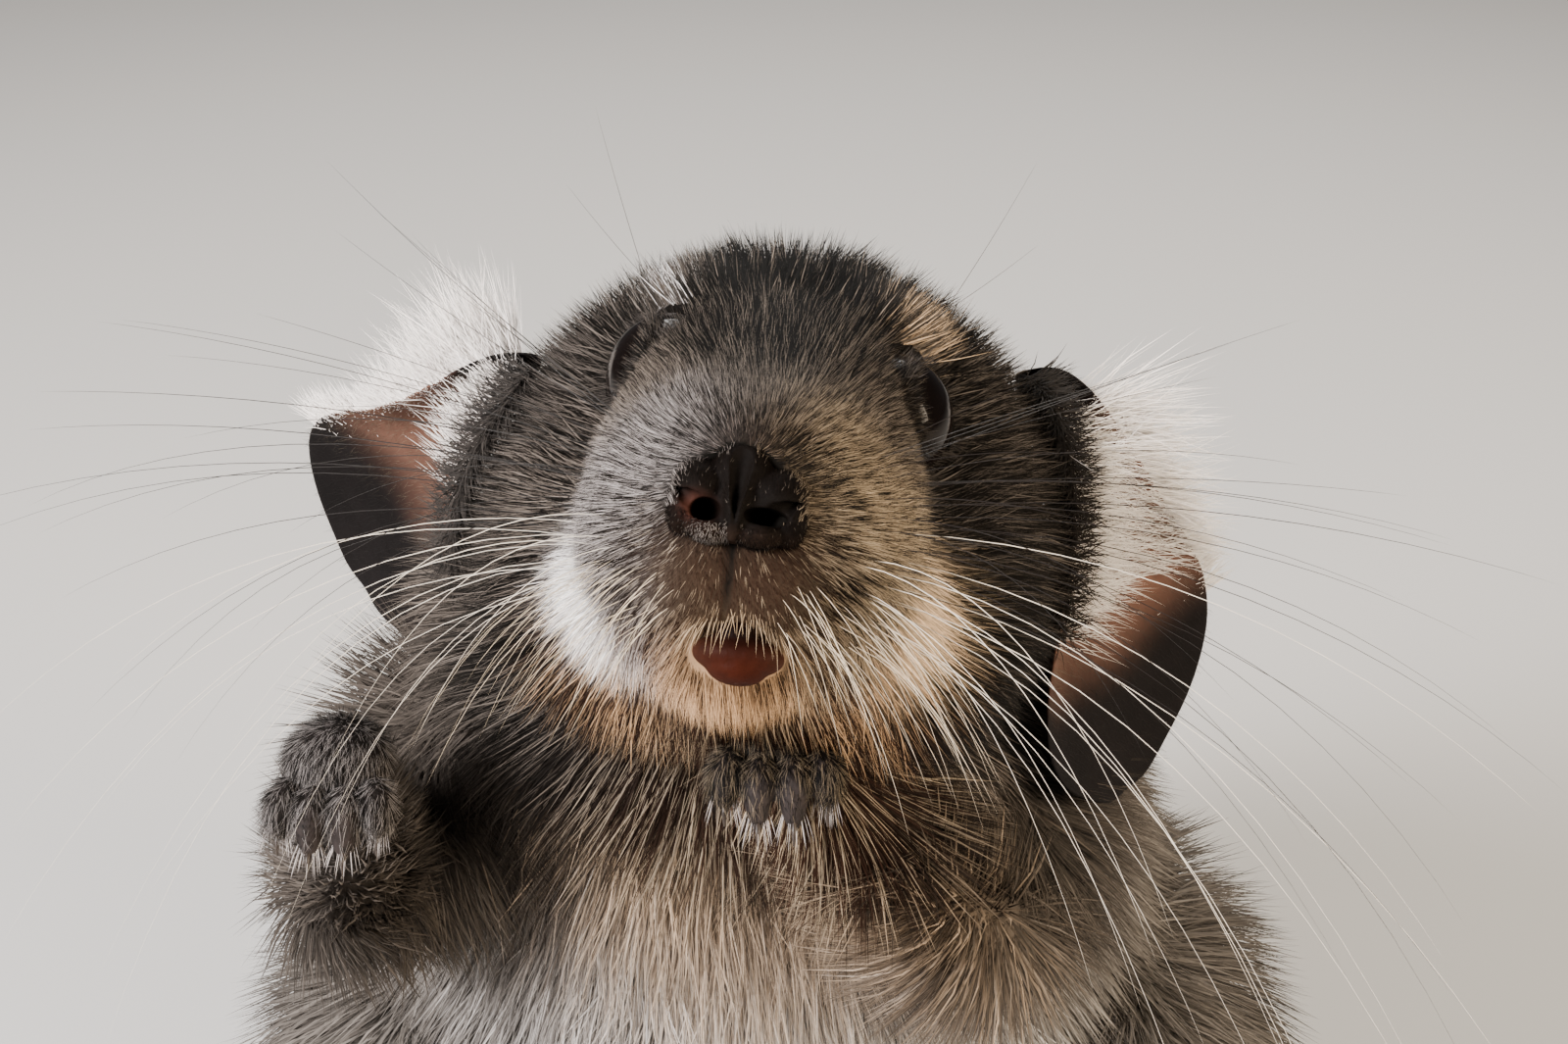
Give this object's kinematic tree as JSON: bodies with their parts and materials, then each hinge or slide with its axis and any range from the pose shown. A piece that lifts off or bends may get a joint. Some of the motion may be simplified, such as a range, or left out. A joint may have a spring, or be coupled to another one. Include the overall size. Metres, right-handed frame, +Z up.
{
  "type": "chinchilla",
  "caption": "Grey chinchilla sitting up on its hind feet, head raised, ears drooping, forepaws held up and long whiskers spread",
  "frame": {"origin": "centre of the flat that the rump rests on, at floor level", "axes": "+Z up, -Y the way that the chest and nose face, +X the animal's left"},
  "size_m": [0.1586, 0.2919, 0.1711],
  "materials": {
    "coat": "dense plush fur, dark grey with silver tips",
    "tail_coat": "long bristly fur, dark grey",
    "paw": "short thin fur over skin",
    "ear_skin": "thin naked skin",
    "lip": "moist skin",
    "eye": "wet gloss"
  },
  "bodies": {
    "root": {"head": "coat", "lower_lip": "lip", "neck": "coat", "torso": "coat", "tail": "tail_coat", "eye_left": "eye", "eye_right": "eye", "ear_left": "ear_skin", "ear_right": "ear_skin", "whisker_pad_left": "coat", "whisker_pad_right": "coat", "foreleg_left": "coat", "foreleg_right": "coat", "hind_leg_left": "coat", "hind_leg_right": "coat", "forepaw_left": "paw", "forepaw_right": "paw", "hind_foot_left": "paw", "hind_foot_right": "paw"}
  },
  "joints": []
}
